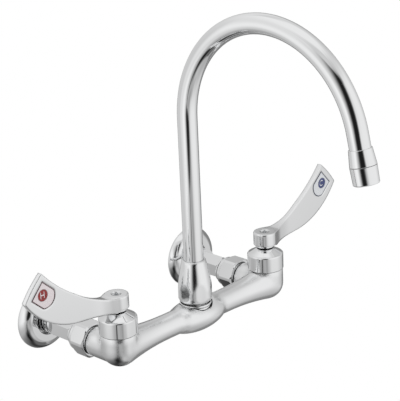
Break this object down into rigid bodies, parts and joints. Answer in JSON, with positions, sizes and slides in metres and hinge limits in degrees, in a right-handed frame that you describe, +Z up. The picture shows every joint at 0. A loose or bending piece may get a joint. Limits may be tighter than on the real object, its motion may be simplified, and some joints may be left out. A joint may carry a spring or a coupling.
{
  "type": "wall-mounted utility faucet",
  "caption": "Chromed wall-mounted faucet with a swivelling gooseneck spout, wrist-blade lever handles, offset wall couplings and round wall flanges.",
  "frame": {"origin": "on the wall plane, half way between the two supply inlets and level with them", "axes": "+X from the hot side to the cold side, +Y into the wall, +Z up"},
  "size_m": [0.4172, 0.3325, 0.3406],
  "materials": {
    "chrome": "polished",
    "brass": "machined",
    "rubber": "matte",
    "fibre": "matte",
    "ceramic": "ground and lapped",
    "white_plastic": "moulded",
    "steel": "satin",
    "index_plate": "glossy",
    "hot_mark": "glossy",
    "cold_mark": "glossy"
  },
  "bodies": {
    "body": {"faucet_body": "chrome", "hot_bonnet": "chrome", "hot_cartridge_housing": "brass", "hot_stem_oring": "rubber", "hot_fixed_disc": "ceramic", "hot_seat_seal": "rubber", "hot_wall_flange": "chrome", "hot_wall_coupling": "chrome", "hot_union_nut": "chrome", "hot_union_washer": "fibre", "cold_bonnet": "chrome", "cold_cartridge_housing": "brass", "cold_stem_oring": "rubber", "cold_fixed_disc": "ceramic", "cold_seat_seal": "rubber", "cold_wall_flange": "chrome", "cold_wall_coupling": "chrome", "cold_union_nut": "chrome", "cold_union_washer": "fibre", "spout_glide_ring": "white_plastic", "spout_collar": "chrome", "spout_nut": "chrome"},
    "hot_lever": {"hot_handle": "chrome", "hot_index_plate": "index_plate", "hot_index_mark": "hot_mark", "hot_handle_screw": "steel", "hot_cartridge_stem": "brass", "hot_moving_disc": "ceramic"},
    "cold_lever": {"cold_handle": "chrome", "cold_index_plate": "index_plate", "cold_index_mark": "cold_mark", "cold_handle_screw": "steel", "cold_cartridge_stem": "brass", "cold_moving_disc": "ceramic"},
    "spout": {"spout_tube": "chrome", "spout_sleeve": "brass", "lower_spout_oring": "rubber", "upper_spout_oring": "rubber", "aerator_adapter": "chrome", "aerator_housing": "chrome", "aerator_washer": "rubber", "aerator_insert": "white_plastic", "aerator_screen": "steel"}
  },
  "joints": [
    {"name": "hot_lever_turn", "type": "hinge", "parent": "body", "child": "hot_lever", "pos_m": [-0.1016, -0.11, 0.05], "axis": [0, 0, 1], "range_deg": [0, 90]},
    {"name": "cold_lever_turn", "type": "hinge", "parent": "body", "child": "cold_lever", "pos_m": [0.1016, -0.11, 0.05], "axis": [0, 0, 1], "range_deg": [-90, 0]},
    {"name": "spout_swivel", "type": "hinge", "parent": "body", "child": "spout", "pos_m": [0, -0.11, 0.03], "axis": [0, 0, 1], "range_deg": [-115, 115]}
  ]
}
